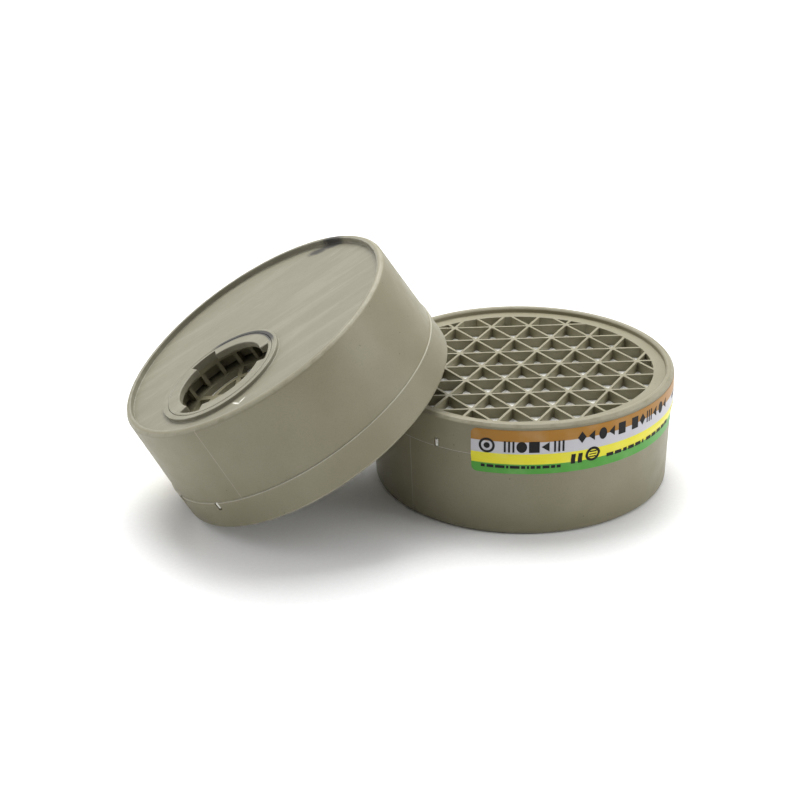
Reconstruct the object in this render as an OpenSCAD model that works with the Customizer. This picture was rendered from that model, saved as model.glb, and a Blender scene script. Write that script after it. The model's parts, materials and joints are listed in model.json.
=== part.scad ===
// Pair of round gas filter cartridges for a half mask.
// One stands on its rear rim, and its twin leans on it with the socket side up.
// In a cartridge's own frame +Z runs from the rear rim (0) to the front lip,
// and +X runs from the axis to the centre of the socket.

/* [Cover] */
// Outer radius of the cover, the widest part
cover_r = 45; // [38:0.5:56]
// Height of a cartridge from rear rim to front lip
height = 35; // [29:0.5:45]
// Height of the cover's skirt, from the lip down to the joint line
skirt_h = 10; // [8:0.5:14]
// Wall of the skirt
skirt_t = 1.9; // [1.4:0.1:2.4]
// Width of the raised front lip
lip_w = 2.4; // [1.5:0.1:4]
// Height of the lip over the ledge
lip_h = 1.6; // [1:0.1:3]
// Width of the flat ledge between lip and grille
ledge_w = 3.6; // [2:0.1:6]
// Thickness of the ledge
ledge_t = 1.8; // [1.2:0.1:2.5]
// Break on the outer edges of both shells
edge = 0.9; // [0.3:0.1:1.2]

/* [Grille] */
// Distance between the grille's crossings
grille_pitch = 11.6; // [8:0.1:16]
// Thickness of a rib
rib_t = 0.8; // [0.6:0.1:1.5]
// Depth of a rib
rib_depth = 3.4; // [3:0.1:6]
// Wall of the ring that the ribs end in
grille_ring_t = 1.5; // [1:0.1:1.8]
// Turn of the grille from the socket's direction
grille_turn = 128.5; // [0:0.5:180]
// Distance of the nearest crossing from the axis
grille_shift = 1.2; // [0:0.1:3]

/* [Case] */
// Step out from case to skirt at the joint line
seam_step = 0.35; // [0.2:0.05:1.2]
// Draft of the case wall over its height
case_draft = 0.95; // [0:0.05:1.5]
// Wall of the spigot inside the skirt
spigot_t = 1.5; // [1:0.1:2.5]
// Width of the raised rear rim
rim_w = 2; // [1.2:0.1:4]
// Height of the rear rim over the rear wall
rim_h = 1.7; // [1.4:0.1:4]
// Thickness of the rear wall
rear_t = 1.6; // [1.2:0.1:2.5]
// Gap between skirt and spigot, and round every loose disc
fit_gap = 0.1; // [0.05:0.05:0.3]

/* [Snap windows] */
// Width of a window at the skirt's edge
window_w = 1.4; // [1:0.1:3]
// Height of a window
window_h = 2.6; // [1.5:0.1:4]
// Angle between the two windows of a pair
window_step = 24.5; // [10:0.5:60]
// Gap on each side of a lug in its window
lug_gap = 0.15; // [0.05:0.05:0.3]

/* [Socket] */
// Outer radius of the raised collar
collar_r = 19.1; // [17:0.1:24]
// Height of the collar's top below the rear rim
collar_drop = 0.6; // [0.2:0.1:1.2]
// Clear gap between the collar and the case's inside wall
collar_margin = 4.6; // [4:0.1:10]
// Wall of the collar
collar_t = 1.7; // [1.2:0.1:2.5]
// Wall of the bayonet ring below its tabs
ring_t = 1.1; // [0.8:0.1:1.5]
// Inner radius at the bayonet tabs
pilot_r = 13.5; // [11:0.1:14.5]
// Angle that a tab covers
tab_arc = 91; // [60:1:100]
// Thickness of a tab
tab_t = 2; // [1:0.1:2.5]
// Number of tabs
tabs = 3; // [2:1:4]
// Thickness of the ring's flange behind the rear wall
flange_t = 1; // [0.8:0.1:1.5]
// Width of that flange
flange_w = 1.3; // [0.8:0.1:2]

/* [Filling] */
// Free space between rear wall and support grid
plenum_h = 5.2; // [4:0.1:8]
// Thickness of the support grid
grid_t = 1.8; // [1:0.1:3]
// Thickness of the rear fleece
rear_fleece_t = 0.8; // [0.4:0.1:1.5]
// Thickness of the rear carbon bed
rear_bed_t = 5; // [3:0.5:8]
// Thickness of the middle fleece
middle_fleece_t = 0.6; // [0.4:0.1:1.5]
// Thickness of the foam pad
foam_t = 1.5; // [1:0.1:3]
// Thickness of the front fleece
front_fleece_t = 1; // [0.5:0.1:2]

/* [Support grid] */
// Number of posts round the socket
posts = 18; // [8:1:24]
// Thickness of a post
post_t = 1.2; // [0.8:0.1:2]
// Reach of the posts beyond the collar
post_reach = 2.9; // [2:0.1:3.5]
// Number of spokes under the socket
spokes = 6; // [4:1:9]
// Width of a spoke and of the rings under the socket
spoke_w = 1.6; // [1:0.1:2.5]
// Radius of the hub
hub_r = 3.2; // [2:0.1:5]
// Inner radius of the middle ring
mid_ring_r = 8.5; // [7:0.1:10]
// Diameter of an air hole
air_hole_d = 5.4; // [3:0.1:6]
// Distance between air holes
air_hole_pitch = 7.6; // [6.5:0.1:12]
// Width of the standing edge ring
edge_ring_w = 1.5; // [1:0.1:3]

/* [Label] */
// Thickness of the label
label_t = 0.15; // [0.1:0.05:0.3]
// Distance of the label's front edge below the lip
label_drop = 1.6; // [1.2:0.1:5]
// Length of the label along the axis
label_h = 13.6; // [8:0.1:16]
// Angle that the label covers
label_arc = 150; // [60:5:200]
// Start of the flat cartridge's label, from the socket's direction
flat_label_at = 14; // [0:1:360]
// Start of the leaning cartridge's label, from the socket's direction
leaning_label_at = 50; // [0:1:360]

/* [Pose of the pair] */
// Turn of the flat cartridge about its axis
flat_turn = -121.8; // [-180:0.1:180]
// Tilt of the leaning cartridge from upside down
lean_tilt = 30.8; // [20:0.1:40]
// Direction from the leaning cartridge to the flat one
lean_heading = 13.7; // [-90:0.1:90]
// Turn of the leaning cartridge about its axis
lean_turn = -43.9; // [-180:0.1:180]
// Sideways distance between the two axes
lean_side = -2.8; // [-10:0.1:10]
// Gap where the two cartridges meet
rest_gap = 0.2; // [0.1:0.05:0.5]

/* [Hidden] */
$fn = 96;
shell_color = [0.5, 0.49, 0.42];
fleece_color = [0.93, 0.93, 0.9];
carbon_color = [0.08, 0.08, 0.08];
foam_color = [0.3, 0.3, 0.3];
label_color = [0.87, 0.83, 0.25];

// cover
seam_z = height - skirt_h;
ledge_z = height - lip_h;
lip_in_r = cover_r - lip_w;
grille_r = lip_in_r - ledge_w;
skirt_in_r = cover_r - skirt_t;
front_z = ledge_z - rib_depth;
lip_break = lip_w / 4;

// case
case_r = cover_r - seam_step;
rear_r = case_r - case_draft;
spigot_r = skirt_in_r - fit_gap;
cavity_r = spigot_r - spigot_t;
spigot_z = ledge_z - ledge_t - fit_gap;
rim_in_r = rear_r - rim_w;
rear_in_z = rim_h + rear_t;
lug_r = cover_r - skirt_t / 4;

// socket
socket_x = cavity_r - collar_margin - collar_r;
seat_r = collar_r - collar_t;
ring_r = seat_r - fit_gap;
bore_r = ring_r - ring_t;
flange_r = ring_r + flange_w;
flange_z = rear_in_z + flange_t;
collar_break = collar_t / 4;

// filling, from the rear wall to the grille
grid_z = rear_in_z + plenum_h;
rear_fleece_z = grid_z + grid_t;
rear_bed_z = rear_fleece_z + rear_fleece_t;
middle_fleece_z = rear_bed_z + rear_bed_t;
front_bed_z = middle_fleece_z + middle_fleece_t;
front_fleece_z = front_z - front_fleece_t;
foam_z = front_fleece_z - foam_t;
disc_r = cavity_r - fit_gap;
post_in_r = bore_r + fit_gap;
post_out_r = collar_r + post_reach;

// label
label_top = height - label_drop;
label_bottom = label_top - label_h;

// pose: both cartridges touch down on the break of the cover's edge
reach = max([for (p = [[cover_r, height - edge], [cover_r - edge, height]])
    p[1] * cos(lean_tilt) + p[0] * sin(lean_tilt)]);
lean_back = (reach * (cos(lean_tilt) - 1) - ledge_z - rest_gap) / sin(lean_tilt);
lean_pos = [
    lean_back * cos(lean_heading) - lean_side * sin(lean_heading),
    lean_back * sin(lean_heading) + lean_side * cos(lean_heading),
    reach];
lean_axis = [
    sin(lean_tilt) * cos(lean_heading),
    sin(lean_tilt) * sin(lean_heading),
    -cos(lean_tilt)];

// the pair's outline, which puts the origin under its middle
outline = [[rear_r - edge, 0], [rear_r, edge], [cover_r, seam_z],
    [cover_r, height - edge], [cover_r - edge, height]];
function low(i) = min([for (p = outline)
    lean_pos[i] + lean_axis[i] * p[1] - p[0] * sqrt(1 - lean_axis[i] * lean_axis[i])]);
function high(i) = max([for (p = outline)
    lean_pos[i] + lean_axis[i] * p[1] + p[0] * sqrt(1 - lean_axis[i] * lean_axis[i])]);
pair_shift = [for (i = [0, 1])
    -(min(low(i), -cover_r) + max(high(i), cover_r)) / 2];

// ---- helpers ----

module place_flat() {
    translate([pair_shift[0], pair_shift[1], 0])
        rotate([0, 0, flat_turn])
            children();
}

module place_leaning() {
    translate([pair_shift[0], pair_shift[1], 0])
        translate(lean_pos)
            rotate([0, 180 - lean_tilt, lean_heading])
                rotate([0, 0, lean_turn])
                    children();
}

module at_socket() {
    translate([socket_x, 0, 0])
        children();
}

// a loose disc that fills the cavity
module disc(z, t) {
    translate([0, 0, z])
        cylinder(r = disc_r, h = t);
}

// repeats its child at each snap window
module at_windows() {
    for (a = [0, window_step, 180, 180 + window_step])
        rotate([0, 0, a])
            children();
}

// ---- case: cup, rear rim, collar and lugs ----

module case_cup() {
    rotate_extrude()
        polygon([
            [0, rim_h], [rim_in_r, rim_h], [rim_in_r, 0],
            [rear_r - edge, 0], [rear_r, edge], [case_r, seam_z],
            [spigot_r, seam_z], [spigot_r, spigot_z], [cavity_r, spigot_z],
            [cavity_r, rear_in_z], [0, rear_in_z]]);
}

module collar() {
    at_socket()
        rotate_extrude()
            polygon([
                [seat_r, collar_drop], [collar_r - collar_break, collar_drop],
                [collar_r, collar_drop + collar_break], [collar_r, rear_in_z],
                [seat_r, rear_in_z]]);
}

module lug() {
    translate([spigot_r - spigot_t / 2, -window_w / 2 + lug_gap, seam_z - lug_gap])
        cube([lug_r - spigot_r + spigot_t / 2, window_w - 2 * lug_gap, window_h]);
}

module cartridge_case() {
    color(shell_color) {
        difference() {
            union() {
                case_cup();
                at_windows()
                    lug();
            }
            at_socket()
                cylinder(r = seat_r + collar_t / 2, h = rear_in_z + 1);
        }
        collar();
    }
}

// ---- bayonet ring: sleeve, flange and tabs ----

module bayonet_ring() {
    color(shell_color)
        at_socket() {
            rotate_extrude()
                polygon([
                    [bore_r, collar_drop], [ring_r, collar_drop], [ring_r, rear_in_z],
                    [flange_r, rear_in_z], [flange_r, flange_z], [bore_r, flange_z]]);
            for (i = [0:tabs - 1])
                rotate([0, 0, 180 + i * 360 / tabs - tab_arc / 2])
                    rotate_extrude(angle = tab_arc)
                        translate([pilot_r, collar_drop])
                            square([bore_r + ring_t / 2 - pilot_r, tab_t]);
        }
}

// ---- support grid: plate with rings, spokes, air holes and posts ----

module socket_window() {
    translate([0, 0, grid_z - 1])
        cylinder(r = post_in_r - spoke_w, h = grid_t + 2);
}

module spoke_wheel() {
    translate([0, 0, grid_z]) {
        cylinder(r = hub_r, h = grid_t);
        difference() {
            cylinder(r = mid_ring_r + spoke_w, h = grid_t);
            translate([0, 0, -1])
                cylinder(r = mid_ring_r, h = grid_t + 2);
        }
        for (i = [0:spokes - 1])
            rotate([0, 0, (i + 0.5) * 360 / spokes])
                translate([hub_r - 1, -spoke_w / 2, 0])
                    cube([post_in_r - hub_r, spoke_w, grid_t]);
    }
}

module air_holes() {
    row = air_hole_pitch * sqrt(3) / 2;
    n = ceil(cavity_r / row);
    keep = disc_r - edge_ring_w - air_hole_d / 2 - 1;
    clear = post_out_r + air_hole_d / 2 + 1;
    for (j = [-n:n], i = [-n:n]) {
        x = (i + (j % 2) / 2) * air_hole_pitch;
        y = j * row;
        if (norm([x, y]) < keep && norm([x - socket_x, y]) > clear)
            translate([x, y, grid_z - 1])
                cylinder(d = air_hole_d, h = grid_t + 2, $fn = 32);
    }
}

module grid_posts() {
    difference() {
        for (i = [0:posts - 1])
            rotate([0, 0, (i + 0.5) * 360 / posts])
                translate([post_in_r, -post_t / 2, rear_in_z])
                    cube([post_out_r - post_in_r, post_t, plenum_h + grid_t / 2]);
        translate([0, 0, rear_in_z - 1])
            cylinder(r = flange_r + fit_gap, h = flange_t + 1);
    }
}

module support_grid() {
    color(shell_color) {
        difference() {
            disc(grid_z, grid_t);
            at_socket()
                socket_window();
            air_holes();
        }
        at_socket() {
            spoke_wheel();
            grid_posts();
        }
        difference() {
            disc(rear_in_z, plenum_h + grid_t / 2);
            translate([0, 0, rear_in_z - 1])
                cylinder(r = disc_r - edge_ring_w, h = plenum_h + grid_t + 2);
        }
    }
}

// ---- filling ----

module rear_fleece() {
    color(fleece_color)
        disc(rear_fleece_z, rear_fleece_t);
}

module rear_bed() {
    color(carbon_color)
        disc(rear_bed_z, rear_bed_t);
}

module middle_fleece() {
    color(fleece_color)
        disc(middle_fleece_z, middle_fleece_t);
}

module front_bed() {
    color(carbon_color)
        disc(front_bed_z, foam_z - front_bed_z);
}

module foam_pad() {
    color(foam_color)
        disc(foam_z, foam_t);
}

module front_fleece() {
    color(fleece_color)
        disc(front_fleece_z, front_fleece_t);
}

// ---- cover: skirt, lip, ledge, ring, grille and windows ----

module cover_cap() {
    rotate_extrude()
        polygon([
            [skirt_in_r, seam_z], [cover_r, seam_z], [cover_r, height - edge],
            [cover_r - edge, height], [lip_in_r + lip_break, height],
            [lip_in_r, height - lip_break], [lip_in_r, ledge_z], [grille_r, ledge_z],
            [grille_r, front_z], [grille_r + grille_ring_t, front_z],
            [grille_r + grille_ring_t, ledge_z - ledge_t], [skirt_in_r, ledge_z - ledge_t]]);
}

// three sets of parallel ribs that cross in common points
module grille() {
    row = grille_pitch * sqrt(3) / 2;
    n = ceil((grille_r + grille_shift) / row);
    rib_l = 2 * (grille_r + grille_pitch);
    intersection() {
        translate([0, 0, front_z])
            cylinder(r = grille_r + grille_ring_t / 2, h = rib_depth);
        rotate([0, 0, grille_turn])
            translate([0, grille_shift, front_z])
                for (a = [0, 60, 120], k = [-n:n])
                    rotate([0, 0, a])
                        translate([-rib_l / 2, k * row - rib_t / 2, 0])
                            cube([rib_l, rib_t, rib_depth]);
    }
}

module window() {
    translate([spigot_r, -window_w / 2, seam_z - 1])
        cube([skirt_t * 2, window_w, window_h + 1]);
}

module cover() {
    color(shell_color) {
        difference() {
            cover_cap();
            at_windows()
                window();
        }
        grille();
    }
}

// ---- label: one band over the joint line ----

module label(start) {
    case_at_bottom = rear_r + (case_r - rear_r) * (label_bottom - edge) / (seam_z - edge);
    color(label_color)
        rotate([0, 0, start])
            rotate_extrude(angle = label_arc)
                polygon([
                    [case_at_bottom, label_bottom], [case_at_bottom + label_t, label_bottom],
                    [case_r + label_t, seam_z - label_t], [cover_r + label_t, seam_z],
                    [cover_r + label_t, label_top], [cover_r, label_top],
                    [cover_r, seam_z], [case_r, seam_z]]);
}

place_flat() cartridge_case();  // flat_case
place_flat() bayonet_ring();  // flat_bayonet_ring
place_flat() support_grid();  // flat_support_grid
place_flat() rear_fleece();  // flat_rear_fleece
place_flat() rear_bed();  // flat_rear_bed
place_flat() middle_fleece();  // flat_middle_fleece
place_flat() front_bed();  // flat_front_bed
place_flat() foam_pad();  // flat_foam_pad
place_flat() front_fleece();  // flat_front_fleece
place_flat() cover();  // flat_cover
place_flat() label(flat_label_at);  // flat_label
place_leaning() cartridge_case();  // leaning_case
place_leaning() bayonet_ring();  // leaning_bayonet_ring
place_leaning() support_grid();  // leaning_support_grid
place_leaning() rear_fleece();  // leaning_rear_fleece
place_leaning() rear_bed();  // leaning_rear_bed
place_leaning() middle_fleece();  // leaning_middle_fleece
place_leaning() front_bed();  // leaning_front_bed
place_leaning() foam_pad();  // leaning_foam_pad
place_leaning() front_fleece();  // leaning_front_fleece
place_leaning() cover();  // leaning_cover
place_leaning() label(leaning_label_at);  // leaning_label
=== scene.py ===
"""A pair of round gas filter cartridges.

One lies with its grille up. Its twin leans on it with the socket side up.
"""

import json
import math
import random

import bmesh
import bpy
from mathutils import Matrix, Vector, noise


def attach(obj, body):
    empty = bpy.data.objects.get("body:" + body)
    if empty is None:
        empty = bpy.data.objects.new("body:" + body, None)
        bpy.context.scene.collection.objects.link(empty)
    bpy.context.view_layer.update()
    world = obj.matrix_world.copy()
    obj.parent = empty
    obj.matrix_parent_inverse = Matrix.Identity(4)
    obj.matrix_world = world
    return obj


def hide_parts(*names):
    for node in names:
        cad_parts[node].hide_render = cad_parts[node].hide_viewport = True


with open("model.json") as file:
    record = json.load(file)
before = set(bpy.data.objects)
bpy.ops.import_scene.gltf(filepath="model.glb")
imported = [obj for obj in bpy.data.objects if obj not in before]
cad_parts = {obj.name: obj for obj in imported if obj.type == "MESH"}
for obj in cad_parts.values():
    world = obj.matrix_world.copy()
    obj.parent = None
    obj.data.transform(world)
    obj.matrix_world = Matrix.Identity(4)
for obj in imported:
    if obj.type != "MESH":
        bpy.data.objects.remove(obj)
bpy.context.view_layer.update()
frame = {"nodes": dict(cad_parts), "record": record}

# ---------------------------------------------------------------------------
# Sizes of one cartridge, in millimetres, in its own frame:
# +Z runs from the rear rim to the front lip, +X from the axis to the socket's centre.
# ---------------------------------------------------------------------------

MM = 0.001
# steps round a hard shell, and steps and rings of a soft disc
STEPS = 192
SOFT_STEPS = 120
SOFT_RINGS = 30
# distances at which points count as one, as on a circle, and as at a height
MERGE = 0.002
ON_CIRCLE = 0.004
NEAR = 0.01
# angles, in degrees
SHALLOW_EDGE = 20.0
SHARP_EDGE = 50.0
SQUARE_EDGE = 60.0
HARD_SHADING = 32.0
SOFT_SHADING = 60.0

HEIGHT = 35.0
COVER_R = 45.0
EDGE = 0.9
SKIRT_T = 1.9
SEAM_Z = 25.0
LIP_IN_R = 42.6
LEDGE_Z = 33.4
LEDGE_T = 1.8
GRILLE_R = 39.0

RIB_T = 0.8
RIB_DEPTH = 3.4
RIB_PITCH = 11.6
GRILLE_TURN = 128.5
GRILLE_SHIFT = 1.2
GRILLE_RING_T = 1.5
RIB_SINK = 0.03
FRONT_Z = LEDGE_Z - RIB_DEPTH

CASE_R = 44.65
REAR_R = 43.7
SPIGOT_R = 43.0
SPIGOT_Z = 31.5
CAVITY_R = 41.5
RIM_IN_R = 41.7
RIM_H = 1.7
REAR_WALL = 1.6
REAR_IN_Z = RIM_H + REAR_WALL

SOCKET_X = 17.8
COLLAR_R = 19.1
COLLAR_DROP = 0.6
SEAT_R = 17.4
RING_R = 17.3
BORE_R = 16.2
PILOT_R = 13.5
TAB_T = 2.0
TAB_ARC = 91.0
TAB_ROOT = 0.5
TABS = 3
FLANGE_R = 18.6
FLANGE_Z = REAR_IN_Z + 1.0
BAFFLE_IN_R = 18.8
BAFFLE_OUT_R = 19.3
BAFFLE_TOP = REAR_IN_Z + 4.4

DISC_R = 41.1
FRONT_SHEET_T = 1.0
FRONT_SHEET_Z = FRONT_Z - FRONT_SHEET_T
# piece, CAD node, lower face, thickness, waviness, bulge into the cells
SHEETS = (("socket_fleece", "rear_fleece", 10.3, 0.8, 0.08, 0.0),
          ("middle_sheet", "middle_fleece", 16.1, 0.6, 0.06, 0.0),
          ("grille_fleece", "front_fleece", FRONT_SHEET_Z, FRONT_SHEET_T, 0.10, 0.4))

FOAM_T = 1.5
FOAM_Z = FRONT_SHEET_Z - FOAM_T
FOAM_SWELL = 0.08
# the wave of a soft disc: a broad one and a fine one, which die out at its edge
BROAD_WAVE = 0.35
FINE_WAVE = 1.3
FINE_SHARE = 0.5
EDGE_HOLD = 8

# angles of the snap windows and of the whitened lugs
WINDOWS = (0.0, 24.5, 180.0, 204.5)
WHITE_LUGS = (0.0, 180.0)
WINDOW_W = 1.4
WINDOW_H = 2.6
LUG_GAP = 0.15
LUG_R = 44.85
LUG_H = 2.3
LUG_ROOT = 0.6

LABEL_TOP = 33.4
LABEL_BOTTOM = 19.8
LABEL_T = 0.15
LABEL_ARC = 150.0
LABEL_AT = {"flat": 14.0, "leaning": 50.0}
LABEL_CORNER = 1.7
LABEL_L = math.radians(LABEL_ARC) * COVER_R
LABEL_H = LABEL_TOP - LABEL_BOTTOM
FILM_T = LABEL_T * 0.8
# height over which the film climbs from the case onto the skirt
TENT_H = 1.4

# roundings, by where they are
MOULD_EDGE = 0.38
CASE_INSIDE = 0.22
SEAM_EDGE = 0.07
LIP_EDGE = 0.22
COVER_INSIDE = 0.16
RING_EDGE = 0.16
TAB_EDGE = 0.3
BAFFLE_EDGE = 0.12
RIB_CORNER = 0.45
RIB_CREST = 0.16


# ---------------------------------------------------------------------------
# Where each cartridge is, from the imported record's mounts
# ---------------------------------------------------------------------------

def cartridge_frame(side):
    """Turns a cartridge's own millimetres into metres in the shared frame."""
    mounts = {m["name"]: m for m in frame["record"]["mounts"]}
    rim = mounts[side + "_front_rim"]
    on_axis = Vector(rim["pos_m"])
    forward = Vector(rim["axis"]).normalized()
    socket = Vector(mounts[side + "_bayonet"]["pos_m"])
    rear = on_axis + forward * ((socket - on_axis).dot(forward) - COLLAR_DROP * MM)
    to_socket = socket - rear
    to_socket = (to_socket - forward * to_socket.dot(forward)).normalized()
    across = forward.cross(to_socket)
    turn = Matrix((to_socket, across, forward)).transposed().to_4x4()
    return Matrix.Translation(rear) @ turn @ Matrix.Scale(MM, 4)


PLACE = {side: cartridge_frame(side) for side in ("flat", "leaning")}


# ---------------------------------------------------------------------------
# Mesh helpers
# ---------------------------------------------------------------------------

def spin_profile(bm, points, closed=True, angle=360.0, start=0.0, centre=(0, 0, 0), steps=STEPS):
    """Spins a chain of (radius, height) points about a vertical axis."""
    turn = Matrix.Rotation(math.radians(start), 4, "Z")
    shift = Vector(centre)
    chain = [bm.verts.new(turn @ Vector((r, 0, z)) + shift) for r, z in points]
    edges = [bm.edges.new(pair) for pair in zip(chain, chain[1:])]
    if closed:
        edges.append(bm.edges.new((chain[-1], chain[0])))
    full = angle >= 360.0
    section = chain + edges if full else [bm.faces.new(chain)]
    bmesh.ops.spin(bm, geom=section, cent=shift, axis=(0, 0, 1), angle=math.radians(angle),
                   steps=round(steps * angle / 360.0), use_merge=full)


def pull_faces(bm, faces, by):
    """Extrudes faces by a shift and gives back the vertices that moved."""
    made = bmesh.ops.extrude_face_region(bm, geom=faces)["geom"]
    moved = [g for g in made if isinstance(g, bmesh.types.BMVert)]
    bmesh.ops.translate(bm, vec=by, verts=moved)
    return moved


def sharp_edges(bm, least, where=None):
    """Edges between two faces that meet at an angle."""
    found = []
    for edge in bm.edges:
        if len(edge.link_faces) != 2:
            continue
        if where and not where(edge):
            continue
        if edge.calc_face_angle(0.0) > math.radians(least):
            found.append(edge)
    return found


def round_edges(bm, edges, offset, segments, clamp=False):
    """Rounds the given edges."""
    bmesh.ops.bevel(bm, geom=edges, offset=offset, offset_type="OFFSET", segments=segments,
                    profile=0.5, affect="EDGES", material=-1, clamp_overlap=clamp)


def soften(bm, offset, segments, least, where=None):
    """Rounds the sharp edges, as a mould does."""
    edges = sharp_edges(bm, least, where)
    if edges:
        round_edges(bm, edges, offset, segments, clamp=True)


def face_outwards(bm):
    bmesh.ops.recalc_face_normals(bm, faces=bm.faces)


def close_up(bm):
    """Merges doubles and turns every face outwards."""
    bmesh.ops.remove_doubles(bm, verts=bm.verts, dist=MERGE)
    face_outwards(bm)


def join_into(bm, other):
    """Adds a finished shell to a mesh."""
    loose = bpy.data.meshes.new("loose")
    other.to_mesh(loose)
    other.free()
    bm.from_mesh(loose)
    bpy.data.meshes.remove(loose)


def add_piece(bm, name, side, materials, replaced=(), smooth=HARD_SHADING):
    """Places a finished mesh in the shared frame as its own object, riding on its cartridge."""
    bm.transform(PLACE[side])
    mesh = bpy.data.meshes.new(name)
    bm.to_mesh(mesh)
    bm.free()
    for polygon in mesh.polygons:
        polygon.use_smooth = True
    mesh.set_sharp_from_angle(angle=math.radians(smooth))
    for material in materials:
        mesh.materials.append(material)
    piece = bpy.data.objects.new(name, mesh)
    bpy.context.scene.collection.objects.link(piece)
    even = piece.modifiers.new("even_shading", "WEIGHTED_NORMAL")
    even.keep_sharp = True
    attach(piece, side + "_cartridge")
    if replaced:
        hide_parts(*replaced)
    return piece


# ---------------------------------------------------------------------------
# Shader helpers
# ---------------------------------------------------------------------------

# places of the colour sockets on a Mix node
MIX_FACTOR = 0
MIX_FIRST = 6
MIX_SECOND = 7
MIX_RESULT = 2
# a smudge's uneven outline, and its fade from outside to inside
RAGGEDNESS = 1.1
SMUDGE_FADE = (1.5, 0.9)


class Shader:
    """A small builder for node materials, with sizes in a cartridge's own millimetres."""

    def __init__(self, name):
        self.material = bpy.data.materials.new(name)
        self.material.use_nodes = True
        self.tree = self.material.node_tree
        self.surface = self.tree.nodes["Principled BSDF"]

    def put(self, socket, value):
        if isinstance(value, bpy.types.NodeSocket):
            self.tree.links.new(value, socket)
        elif isinstance(value, (tuple, list)) and len(value) == 3 and socket.type == "RGBA":
            socket.default_value = (*value, 1.0)
        else:
            socket.default_value = value

    def set(self, **inputs):
        for name, value in inputs.items():
            self.put(self.surface.inputs[name.replace("_", " ")], value)

    def math(self, operation, *values):
        node = self.tree.nodes.new("ShaderNodeMath")
        node.operation = operation
        for socket, value in zip(node.inputs, values):
            self.put(socket, value)
        return node.outputs[0]

    def ramp(self, value, low, high, out_low=0.0, out_high=1.0):
        """Smooth step from low to high."""
        node = self.tree.nodes.new("ShaderNodeMapRange")
        node.interpolation_type = "SMOOTHSTEP"
        span = {"From Min": low, "From Max": high, "To Min": out_low, "To Max": out_high}
        for name, number in span.items():
            self.put(node.inputs[name], number)
        self.put(node.inputs["Value"], value)
        return node.outputs["Result"]

    def mix(self, factor, first, second):
        node = self.tree.nodes.new("ShaderNodeMix")
        node.data_type = "RGBA"
        self.put(node.inputs[MIX_FACTOR], factor)
        self.put(node.inputs[MIX_FIRST], first)
        self.put(node.inputs[MIX_SECOND], second)
        return node.outputs[MIX_RESULT]

    def noise(self, where, scale, detail=3.0, rough=0.55, distortion=0.0):
        node = self.tree.nodes.new("ShaderNodeTexNoise")
        self.put(node.inputs["Vector"], where)
        look = {"Scale": scale, "Detail": detail, "Roughness": rough, "Distortion": distortion}
        for name, number in look.items():
            node.inputs[name].default_value = number
        return node.outputs["Fac"]

    def voronoi(self, where, scale, feature="F1"):
        node = self.tree.nodes.new("ShaderNodeTexVoronoi")
        node.feature = feature
        self.put(node.inputs["Vector"], where)
        node.inputs["Scale"].default_value = scale
        return node.outputs["Distance"]

    def mapping(self, where, location=(0, 0, 0), rotation=(0, 0, 0), scale=(1, 1, 1)):
        node = self.tree.nodes.new("ShaderNodeMapping")
        self.put(node.inputs["Vector"], where)
        node.inputs["Location"].default_value = location
        node.inputs["Rotation"].default_value = rotation
        node.inputs["Scale"].default_value = scale
        return node.outputs[0]

    def split(self, where):
        node = self.tree.nodes.new("ShaderNodeSeparateXYZ")
        self.put(node.inputs[0], where)
        return node.outputs[0], node.outputs[1], node.outputs[2]

    def bump(self, height, distance, strength, normal=None):
        node = self.tree.nodes.new("ShaderNodeBump")
        self.put(node.inputs["Height"], height)
        node.inputs["Strength"].default_value = strength
        node.inputs["Distance"].default_value = distance
        if normal is not None:
            self.put(node.inputs["Normal"], normal)
        return node.outputs[0]

    def object_place(self):
        return self.tree.nodes.new("ShaderNodeTexCoord").outputs["Object"]

    def uv(self):
        return self.tree.nodes.new("ShaderNodeTexCoord").outputs["UV"]

    def cartridge_place(self, side):
        """The cartridge's own millimetres, worked out from the shared frame by one turn and shift."""
        back = PLACE[side].inverted()
        return self.mapping(self.object_place(), back.translation, back.to_euler(), back.to_scale())

    def length(self, a, b):
        """Length of the long side of a right-angled triangle."""
        return self.math("SQRT", self.math("ADD", self.math("MULTIPLY", a, a), self.math("MULTIPLY", b, b)))

    def polar(self, place, centre=(0.0, 0.0)):
        """Radius, angle in degrees and height about an upright axis through centre."""
        x, y, z = self.split(place)
        if centre != (0.0, 0.0):
            x = self.math("SUBTRACT", x, centre[0])
            y = self.math("SUBTRACT", y, centre[1])
        radius = self.length(x, y)
        angle = self.math("DEGREES", self.math("ARCTAN2", y, x))
        return radius, angle, z

    def near(self, value, middle, half, soft):
        """1 within half of middle, falling to 0 over soft."""
        away = self.math("ABSOLUTE", self.math("SUBTRACT", value, middle))
        return self.ramp(away, half + soft, half)

    def both(self, *masks):
        result = masks[0]
        for mask in masks[1:]:
            result = self.math("MULTIPLY", result, mask)
        return result

    def either(self, *masks):
        result = masks[0]
        for mask in masks[1:]:
            result = self.math("MAXIMUM", result, mask)
        return result

    def smudge(self, place, centre, size, turn, ragged):
        """An oval mark with a ragged outline."""
        length, width = size
        x, y, _ = self.split(place)
        cos_turn = math.cos(math.radians(turn))
        sin_turn = math.sin(math.radians(turn))
        dx = self.math("SUBTRACT", x, centre[0])
        dy = self.math("SUBTRACT", y, centre[1])
        along = self.math("ADD", self.math("MULTIPLY", dx, cos_turn / length),
                          self.math("MULTIPLY", dy, sin_turn / length))
        across = self.math("ADD", self.math("MULTIPLY", dx, -sin_turn / width),
                           self.math("MULTIPLY", dy, cos_turn / width))
        away = self.length(along, across)
        return self.ramp(self.math("ADD", away, self.math("MULTIPLY", ragged, RAGGEDNESS)), *SMUDGE_FADE)


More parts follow.
